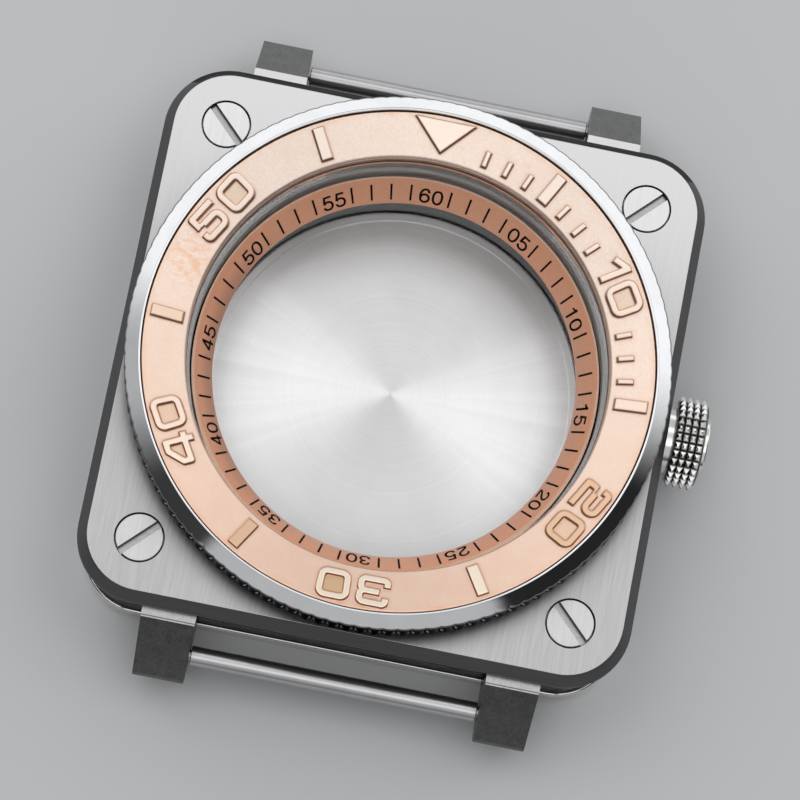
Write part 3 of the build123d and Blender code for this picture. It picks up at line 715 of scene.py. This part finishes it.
# ------------------------------------------------------------------ bezel ring: polished slope over a coin edge
def make_bezel():
    teeth, per = 120, 14
    n = teeth * per
    th = np.arange(n) * 2 * math.pi / n
    u = np.abs(((np.arange(n) / per) + 0.5) % 1.0 - 0.5) * 2     # 0 on a tooth's crest, 1 in its groove
    tip, root = 20.40, 20.10
    Rt = root + (tip - root) * (1 - u ** 2.3)
    slope = lambda r: 14.05 - 0.5 / 0.95 * (r - 19.33)
    rows, dirt_and_painted_light = [], []
    for R in Rt:
        k = (R - root) / (tip - root)
        E = tip - (tip - R) * 0.20                      # the scallops run out towards the slope
        p = [(17.42, 10.05), (19.55, 10.05), (19.64, 10.09), (19.7, 10.18), (19.7, 10.62), (19.74, 10.68), (min(R, 20.1) - 0.02, 10.80)]
        p += [(R - 0.10, 10.84 + 0.05 * k), (R - 0.03, 10.90 + 0.08 * k), (R, 11.02 + 0.1 * k)]
        top = slope(E)
        p += [(R, 11.45), (R, 11.6), (R, 12.1), (R, 12.25), (R, 12.9), (R + (E - R) * 0.5, 13.1), (E, 13.28), (E, top - 0.07), (E - 0.03, top - 0.035), (E - 0.07, slope(E - 0.07) - 0.004)]
        a = E - 0.07
        p += [(a + (19.33 - a) * f, slope(a + (19.33 - a) * f)) for f in (0.06, 0.25, 0.45, 0.7, 0.95)]
        p += [(19.345, 14.040), (19.32, 14.05), (19.245, 14.05), (19.215, 14.04), (19.2, 14.0), (19.2, 13.2), (19.2, 12.96), (16.0, 12.01), (16.0, 11.62), (17.42, 11.62)]
        rows.append(p)
        # per profile point: low on two painted highlight dashes across each tooth's flanks, high over the rest of the
        # coin edge, which is partly dirt and partly painted shade, and on the slope's outer edge, painted as shade
        w = 1 - k
        dash = 0.97 - 0.93 * math.exp(-((w - 0.45) / 0.24) ** 2)
        dirt_and_painted_light.append([0.9] * 6 + [0.97] * 5 + [dash, dash] + [0.97] * 4 + [0.9, 0.8, 0.35] + [0.0] * 5 + [0.55, 0.0] + [0.0] * (len(p) - 27))
    P = np.array(rows)
    m = P.shape[1]
    T = np.tile(th[:, None], (1, m))
    V = np.stack([P[:, :, 0] * np.sin(T), P[:, :, 0] * np.cos(T), P[:, :, 1]], -1).reshape(-1, 3)
    i = np.arange(n)[:, None] * m
    i2 = ((np.arange(n) + 1) % n)[:, None] * m
    j = np.arange(m)[None, :]
    j2 = (np.arange(m)[None, :] + 1) % m
    F = np.stack([i + j, i + j2, i2 + j2, i2 + j], -1).reshape(-1, 4)
    a, b, c, e = (V[F[:, k]] for k in range(4))
    vol = np.einsum("ij,ij->i", a, np.cross(b, c)).sum() + np.einsum("ij,ij->i", a, np.cross(c, e)).sum()
    if vol < 0:
        F = F[:, ::-1]
    ob = mesh_object("bezel_coin_ring", V, F)
    at = ob.data.attributes.new("dirt_and_painted_light", "FLOAT", "POINT")
    at.data.foreach_set("value", np.array(dirt_and_painted_light, np.float32).ravel())
    paint(ob, m_bezel, m_coin)
    ob.data.polygons.foreach_set("material_index", np.tile((np.arange(m) < 17).astype(np.int32), n))
    sharpen(ob, 40)
    return ob


def sharpen(ob, angle):
    e = ob.modifiers.new("EdgeSplit", "EDGE_SPLIT")
    e.split_angle = math.radians(angle)


bezel = make_bezel()
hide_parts("bezel_ring")
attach(bezel, "bezel")

# ------------------------------------------------------------------ minute ring with printed figures
RING_O, RING_I = (15.28, 9.16), (13.79, 7.38)
ring_prof = rounded([(15.38, 6.9), (15.38, 9.16, 0.03), (15.28, 9.16, 0.05), (13.79, 7.38, 0.04), (13.79, 7.18, 0.03), (14.2, 6.9)], 3)
ring = lathe("minute_ring", ring_prof, 360)
sharpen(ring, 28)
paint(ring, m_ring)
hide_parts("chapter_ring")
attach(ring, "case")

SLOPE_LEN = math.hypot(RING_O[0] - RING_I[0], RING_O[1] - RING_I[1])
CN = np.array([-(RING_O[1] - RING_I[1]), RING_O[0] - RING_I[0]]) / SLOPE_LEN       # outward normal of the cone in (r, z)


def on_cone(phi, x, s, lift=0.012):
    """point on the ring's slope: x along the rim, s down the slope from its top edge"""
    f = s / SLOPE_LEN
    r = RING_O[0] + (RING_I[0] - RING_O[0]) * f + CN[0] * lift
    z = RING_O[1] + (RING_I[1] - RING_O[1]) * f + CN[1] * lift
    a = phi + x / 14.45
    return (r * math.sin(a), r * math.cos(a), z)


def spline(pts, closed=False, per=6):
    """Catmull-Rom curve through the points"""
    P = [np.array(p, float) for p in pts]
    n = len(P)
    out = []
    for i in range(n if closed else n - 1):
        p0 = P[i - 1] if (i or closed) else P[0] * 2 - P[1]
        p1, p2 = P[i], P[(i + 1) % n]
        p3 = P[(i + 2) % n] if (i + 2 < n or closed) else p2 * 2 - p1
        for k in range(per):
            t = k / per
            out.append(0.5 * (2 * p1 + (p2 - p0) * t + (2 * p0 - 5 * p1 + 4 * p2 - p3) * t * t + (3 * p1 - p0 - 3 * p2 + p3) * t ** 3))
    if not closed:
        out.append(P[-1])
    return out


# figures as centre lines in a cell 0.66 wide and 1 high: (points, curved, closed)
FIG = {
    "0": [([(0.33 + 0.265 * math.copysign(abs(math.cos(a)) ** 0.86, math.cos(a)), 0.5 + 0.44 * math.copysign(abs(math.sin(a)) ** 0.92, math.sin(a))) for a in np.linspace(0, 2 * math.pi, 24, endpoint=False)], True, True)],
    "1": [([(0.40, 0.0), (0.40, 1.0)], False, False), ([(0.39, 0.95), (0.34, 0.85), (0.25, 0.79), (0.13, 0.775)], True, False)],
    "2": [([(0.07, 0.67), (0.13, 0.86), (0.33, 0.945), (0.53, 0.86), (0.58, 0.68), (0.50, 0.51), (0.30, 0.35), (0.13, 0.20), (0.075, 0.06)], True, False), ([(0.03, 0.06), (0.61, 0.06)], False, False)],
    "3": [([(0.08, 0.71), (0.14, 0.88), (0.32, 0.945), (0.49, 0.88), (0.54, 0.74), (0.46, 0.59), (0.28, 0.545)], True, False),
          ([(0.28, 0.545), (0.49, 0.49), (0.59, 0.29), (0.50, 0.11), (0.32, 0.055), (0.13, 0.12), (0.06, 0.29)], True, False)],
    "4": [([(0.45, 0.0), (0.45, 0.93), (0.43, 0.93), (0.07, 0.30), (0.07, 0.28), (0.63, 0.28)], False, False)],
    "5": [([(0.57, 0.94), (0.17, 0.94), (0.10, 0.47)], False, False), ([(0.10, 0.47), (0.20, 0.57), (0.34, 0.605), (0.52, 0.53), (0.59, 0.34), (0.52, 0.13), (0.33, 0.055), (0.14, 0.11), (0.06, 0.26)], True, False)],
    "6": [([(0.57, 0.72), (0.50, 0.89), (0.36, 0.945), (0.19, 0.87), (0.09, 0.66), (0.07, 0.40), (0.13, 0.15), (0.33, 0.055), (0.52, 0.14), (0.59, 0.32), (0.52, 0.51), (0.35, 0.59), (0.17, 0.52), (0.08, 0.36)], True, False)],
}


def make_print():
    verts, faces = [], []

    def ribbon(phi, pts, w, closed=False):
        a, b = outline([tuple(p) for p in pts], w, closed)
        k = len(pts)
        if closed:
            left, right = a, b
        else:
            left, right = a[:k], a[k:][::-1]
        base = len(verts)
        for i in range(k):
            verts.append(on_cone(phi, *left[i]))
            verts.append(on_cone(phi, *right[i]))
        for i in range(k if closed else k - 1):
            j = (i + 1) % k
            faces.append((base + 2 * i, base + 2 * i + 1, base + 2 * j + 1, base + 2 * j))
    H, W = 1.30, 1.06
    for minute in range(60):
        phi = math.radians(minute * 6)
        if minute % 5:
            ribbon(phi, [(0, 0.58 + 1.46 * f) for f in np.linspace(0, 1, 5)], 0.160)
            continue
        text = "%02d" % (minute or 60)
        for k, ch in enumerate(text):
            x0 = (k - 1) * W * 0.94 + 0.13
            for pts, curved, closed in FIG[ch]:
                q = spline(pts, closed, 5) if curved and ch != "0" else [np.array(p) for p in pts]
                ribbon(phi, [(x0 + p[0] * H, 2.07 - p[1] * H) for p in q], 0.180, closed)
    ob = mesh_object("minute_print", verts, faces, smooth=False)
    me = ob.data
    # turn every face the cone's way
    flip = [f.index for f in me.polygons if f.normal.z < 0]
    for k in flip:
        me.polygons[k].flip()
    s = ob.modifiers.new("Solidify", "SOLIDIFY")
    s.thickness = 0.010 * MM
    s.offset = 0
    return ob


ink = make_print()
paint(ink, m_ink)
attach(ink, "case")


# ------------------------------------------------------------------ crown head with rows of pyramids
def make_crown():
    x0, x1, rad = 21.58, 23.96, 3.46
    nx, nr = 21.02, 2.58                                # shoulder on the inner side
    around, rows = 30, 4
    root = rad - 0.36
    verts, faces = [], []

    def ringpts(x, r, n=around * 2):
        b = len(verts)
        for i in range(n):
            a = 2 * math.pi * (i + 0.5) / n if n == around * 2 else 2 * math.pi * i / n
            verts.append((x, r * math.cos(a), CR_Z + r * math.sin(a)))
        return b
    pitch = (x1 - 0.1 - x0 - 0.1) / rows
    n = around
    # base grid: lines between the pyramids, with a narrow flat groove
    def node(x, i, r):
        a = 2 * math.pi * (i + 0.5) / n
        verts.append((x, r * math.cos(a), CR_Z + r * math.sin(a)))
        return len(verts) - 1
    grid = [[node(x0 + 0.1 + j * pitch, i, root) for i in range(n)] for j in range(rows + 1)]
    for j in range(rows):
        for i in range(n):
            a = 2 * math.pi * (i + 1) / n
            xm = x0 + 0.1 + (j + 0.5) * pitch
            q = []
            for dx, da in ((-1, -1), (1, -1), (1, 1), (-1, 1)):
                aa = a + da * 0.016
                xx = xm + dx * 0.045
                verts.append((xx, rad * math.cos(aa), CR_Z + rad * math.sin(aa)))
                q.append(len(verts) - 1)
            g = [grid[j][i], grid[j + 1][i], grid[j + 1][(i + 1) % n], grid[j][(i + 1) % n]]
            faces.append(tuple(q))
            for k in range(4):
                faces.append((g[k], g[(k + 1) % 4], q[(k + 1) % 4], q[k]))
    # ends
    def band(prev, x, r):
        cur = [node(x, i, r) for i in range(n)]
        for i in range(n):
            faces.append((prev[i], cur[i], cur[(i + 1) % n], prev[(i + 1) % n]))
        return cur
    last = grid[rows]
    for x, r in ((x1 - 0.04, root - 0.01), (x1, root - 0.06), (x1, 2.38), (x1 + 0.01, 2.35), (x1 + 0.25, 2.34), (x1 + 0.31, 2.31), (x1 + 0.33, 2.24), (x1 + 0.33, 1.2)):
        last = band(last, x, r)
    c = len(verts)
    verts.append((x1 + 0.33, 0, CR_Z))
    for i in range(n):
        faces.append((last[i], c, last[(i + 1) % n]))
    first = grid[0]
    for x, r in ((x0 + 0.04, root - 0.01), (x0, root - 0.06), (x0, nr + 0.02), (x0 - 0.02, nr), (nx + 0.08, nr), (nx + 0.02, nr - 0.03), (nx, nr - 0.08), (nx, 2.25), (nx + 0.05, 2.2), (23.0, 2.2), (23.0, 0.9), (23.7, 0.9)):
        cur = [node(x, i, r) for i in range(n)]
        for i in range(n):
            faces.append((first[(i + 1) % n], cur[(i + 1) % n], cur[i], first[i]))
        first = cur
    c = len(verts)
    verts.append((23.7, 0, CR_Z))
    for i in range(n):
        faces.append((first[(i + 1) % n], c, first[i]))
    V = np.array(verts)
    vol = 0.0
    for f in faces:
        for k in range(1, len(f) - 1):
            vol += np.dot(V[f[0]], np.cross(V[f[k]], V[f[k + 1]]))
    if vol < 0:
        faces = [f[::-1] for f in faces]
    ob = mesh_object("crown_knurled", V, faces)
    sharpen(ob, 24)
    return ob


crown = make_crown()
paint(crown, m_knurl)
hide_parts("crown_head")
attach(crown, "crown")

# ------------------------------------------------------------------ CAD nodes that stay: soft edges and finishes
def soften(name, width_mm=0.0, angle=30, segments=2, split=32):
    o = nodes[name]
    o.data.polygons.foreach_set("use_smooth", [True] * len(o.data.polygons))
    w = o.modifiers.new("Weld", "WELD")
    w.merge_threshold = 2e-7
    if width_mm:
        d = o.modifiers.new("Flat", "DECIMATE")
        d.decimate_type = "DISSOLVE"
        d.angle_limit = math.radians(0.4)
        d.delimit = {"MATERIAL"}
        b = o.modifiers.new("Bevel", "BEVEL")
        b.width = width_mm * MM
        b.segments = segments
        b.limit_method = "ANGLE"
        b.angle_limit = math.radians(angle)
        b.miter_outer = "MITER_ARC"
        if name == "mid_case":                  # its two solids meet along edges that three or more faces share
            e = o.modifiers.new("EdgeSplit", "EDGE_SPLIT")
            e.split_angle = math.radians(55)
        k = o.modifiers.new("Flats", "WEIGHTED_NORMAL")
        k.weight = 90
        k.keep_sharp = False
    else:
        e = o.modifiers.new("EdgeSplit", "EDGE_SPLIT")
        e.split_angle = math.radians(split)


def by_face(name, mats, pick):
    """one of several finishes for each face, from its normal and its middle in mm"""
    o = nodes[name]
    paint(o, *mats)
    idx = [pick(p.normal, p.center / MM) for p in o.data.polygons]
    o.data.polygons.foreach_set("material_index", idx)


EDGE = {"top_plate": 0.05, "mid_case": 0.06, "back_plate": 0.07}
for name in nodes:
    soften(name, EDGE.get(name, 0.0))


def pick_plate(n, c):
    r = math.hypot(c.x, c.y)
    if r < 17.5 or (c.z > PT + 0.05):
        return 2                       # neck, seats and bore
    if n.z > 0.9:
        return 0
    if abs(abs(c.x) - 16.3) < 2.2 and abs(abs(c.y) - 16.3) < 2.2 and abs(n.z) < 0.3:
        return 3                       # screw pockets
    return 4 if n.y > 0.6 else 1


def pick_mid(n, c):
    r = math.hypot(c.x, c.y)
    if r < 14.8:
        return 3                       # movement cavity
    if abs(c.y) > 20.95 or (abs(c.x) < 15.4 and abs(c.x) > 10.7 and abs(c.y) > 20.3 and n.z > 0.5):
        if n.z > 0.95:
            return 2                   # lug flats
        return 4 if c.y < 0 else 1
    return 0


def pick_back(n, c):
    r = math.hypot(c.x, c.y)
    if r < 14.6 and c.z > 1.7:
        return 0
    if n.z < -0.9:
        return 2
    if n.z > 0.9 and r > 18:
        return 3
    return 1


by_face("top_plate", (m_plate, m_bevel, m_neck, m_pocket_shade, m_bevel_far_shaded), pick_plate)
by_face("mid_case", (m_case, m_lug, m_lugtop, m_cavity, m_lug_front_shaded), pick_mid)
by_face("back_plate", (m_back, m_rim, m_backout, m_ledge), pick_back)
def pick_screw(n, c):
    if n.z > 0.9:
        return 0 if c.z > PT - 0.2 else 1       # head, slot's floor
    r = math.hypot(abs(c.x) - 16.3, abs(c.y) - 16.3)
    return 2 if abs(n.z) < 0.3 and r < 1.75 and c.z > PT - 0.7 else 0


by_face("front_screws", (m_screw, m_slot, m_pocket_shade), pick_screw)
paint(nodes["back_screws"], m_screw)
paint(nodes["crystal"], m_crystal)
paint(nodes["crystal_gasket"], m_gasket_grey)
for n in ("plate_gasket", "back_gasket", "bezel_gasket", "crown_gasket"):
    paint(nodes[n], m_rubber)
paint(nodes["insert_adhesive"], m_glue)
for n in ("bezel_retaining_ring", "bezel_click_spring", "top_bar_spring", "bottom_bar_spring"):
    paint(nodes[n], m_spring)
paint(nodes["crown_tube"], m_crown)
paint(nodes["crown_post"], m_crown)
for side in ("top", "bottom"):
    for n in (side + "_bar_tube", side + "_bar_pin_left", side + "_bar_pin_right"):
        paint(nodes[n], m_bar)
for n in ("bezel_ring", "bezel_insert", "crown_head", "chapter_ring"):
    paint(nodes[n], m_crown)

# ------------------------------------------------------------------ floor, light, camera
me = bpy.data.meshes.new("floor")
me.from_pydata([(-1.5, -1.5, 0), (1.5, -1.5, 0), (1.5, 1.5, 0), (-1.5, 1.5, 0)], [], [(0, 1, 2, 3)])
floor = bpy.data.objects.new("floor", me)
bpy.context.scene.collection.objects.link(floor)
t = Tree("pale_floor")
t.set(color=(0.60, 0.61, 0.62), rough=0.8, spec=0.2)
paint(floor, t.mat)

# soft studio: bright overhead and behind, big boxes left and right, dark gaps either side of the front
world = bpy.data.worlds.new("studio")
bpy.context.scene.world = world
world.use_nodes = True
wn = world.node_tree
wn.nodes.clear()
w_out = wn.nodes.new("ShaderNodeOutputWorld")
w_bg = wn.nodes.new("ShaderNodeBackground")
wn.links.new(w_bg.outputs[0], w_out.inputs[0])
w_tc = wn.nodes.new("ShaderNodeTexCoord")
w_xyz = wn.nodes.new("ShaderNodeSeparateXYZ")
wn.links.new(w_tc.outputs["Generated"], w_xyz.inputs[0])


def wmath(op, a, b=None, clamp=False):
    m = wn.nodes.new("ShaderNodeMath")
    m.operation = op
    m.use_clamp = clamp
    for k, x in ((0, a), (1, b)):
        if x is None:
            continue
        if isinstance(x, (int, float)):
            m.inputs[k].default_value = x
        else:
            wn.links.new(x, m.inputs[k])
    return m.outputs[0]


def wstep(v, a, b):
    """0 below a, 1 above b"""
    m = wn.nodes.new("ShaderNodeMapRange")
    m.interpolation_type = "SMOOTHSTEP"
    wn.links.new(v, m.inputs[0])
    m.inputs[1].default_value, m.inputs[2].default_value = (a, b)
    m.inputs[3].default_value, m.inputs[4].default_value = 0.0, 1.0
    return m.outputs[0]


def wmix(f, a, b):
    """a where f is 0, b where f is 1"""
    return wmath("ADD", wmath("MULTIPLY", a, wmath("SUBTRACT", 1.0, f)), wmath("MULTIPLY", b, f))


WX, WY, WZ = w_xyz.outputs
AZ = wmath("MULTIPLY", wmath("ARCTAN2", WX, WY), 57.29578)      # 0 behind the object (+Y), 90 on the crown's side
level = wmix(wstep(AZ, 63, 92), 1.17, 0.02)                       # white behind and right, then a dark gap
level = wmix(wstep(AZ, 134, 139), level, 0.54)                    # grey front
left = wmath("MULTIPLY", AZ, -1.0)
level_l = wmix(wstep(left, 60, 82), 1.14, 0.50)
level_l = wmix(wstep(left, 92, 116), level_l, 0.045)
level_l = wmix(wstep(left, 134, 139), level_l, 0.54)
side = wstep(AZ, -0.5, 0.5)
level = wmix(side, level_l, level)
low = wmath("SUBTRACT", 1.0, wstep(WZ, 0.10, 0.42))               # towards the horizon
front = wstep(wmath("MULTIPLY", WY, -1.0), -0.1, 0.35)
level = wmix(wmath("MULTIPLY", low, front), level, 0.05)
level = wmix(wmath("MULTIPLY", wmath("SUBTRACT", 1.0, wstep(WZ, 0.0, 0.20)), wmath("SUBTRACT", 1.0, front)), level, 0.30)
top = wstep(WZ, 0.80, 0.90)
over = wmath("ADD", 0.62, wmath("MULTIPLY", wstep(WY, 0.16, 0.38), 1.12))       # brighter towards the back
over = wmath("ADD", over, wmath("MULTIPLY", wmath("MAXIMUM", wmath("MULTIPLY", WY, -1.0), 0.0), 2.6))
level = wmix(top, level, over)
behind = wmath("ADD", wmath("MULTIPLY", WY, 0.73), wmath("MULTIPLY", WZ, 0.68))
level = wmix(wmath("MULTIPLY", wstep(behind, 0.91, 0.975), 0.85), level, 0.45)   # a dimmer strip behind, halfway up
side_x = wmath("ABSOLUTE", WX)                                                   # two bright strips overhead, left and right
strip = wmath("MULTIPLY", wstep(side_x, 0.09, 0.24), wmath("SUBTRACT", 1.0, wstep(side_x, 0.62, 0.74)))
strip = wmath("MULTIPLY", strip, wmath("SUBTRACT", 1.0, wstep(wmath("ABSOLUTE", wmath("SUBTRACT", WY, 0.18)), 0.16, 0.34)))
level = wmix(wmath("MULTIPLY", strip, wstep(WZ, 0.50, 0.64)), level, 1.42)
wn.links.new(level, w_bg.inputs[1])
w_bg.inputs[0].default_value = (1.0, 1.0, 1.0, 1)


# camera solved for the viewing angle: rows are its right, down and forward axes
rv = np.array([2.895887649992037, 0.2848209702817723, 0.05653602322025565])
tv = np.array([-0.27514806901489935, -2.1882475834975295, 300.67564594168476])
th = np.linalg.norm(rv)
k = rv / th
K = np.array([[0, -k[2], k[1]], [k[2], 0, -k[0]], [-k[1], k[0], 0]])
R = np.eye(3) + math.sin(th) * K + (1 - math.cos(th)) * K @ K
pos = (-R.T @ tv + np.array([0, 0, PT])) * MM
cam = bpy.data.cameras.new("camera")
cam.sensor_fit = "AUTO"
cam.sensor_width = 36.0
cam.lens = 4003.32 / 800 * 36.0
cam.clip_start, cam.clip_end = 0.01, 20
co = bpy.data.objects.new("camera", cam)
bpy.context.scene.collection.objects.link(co)
M = Matrix.Identity(4)
for i in range(3):
    M[i][0], M[i][1], M[i][2], M[i][3] = R[0][i], -R[1][i], -R[2][i], pos[i]
co.matrix_world = M
bpy.context.scene.camera = co
bpy.context.scene.view_settings.view_transform = "Standard"
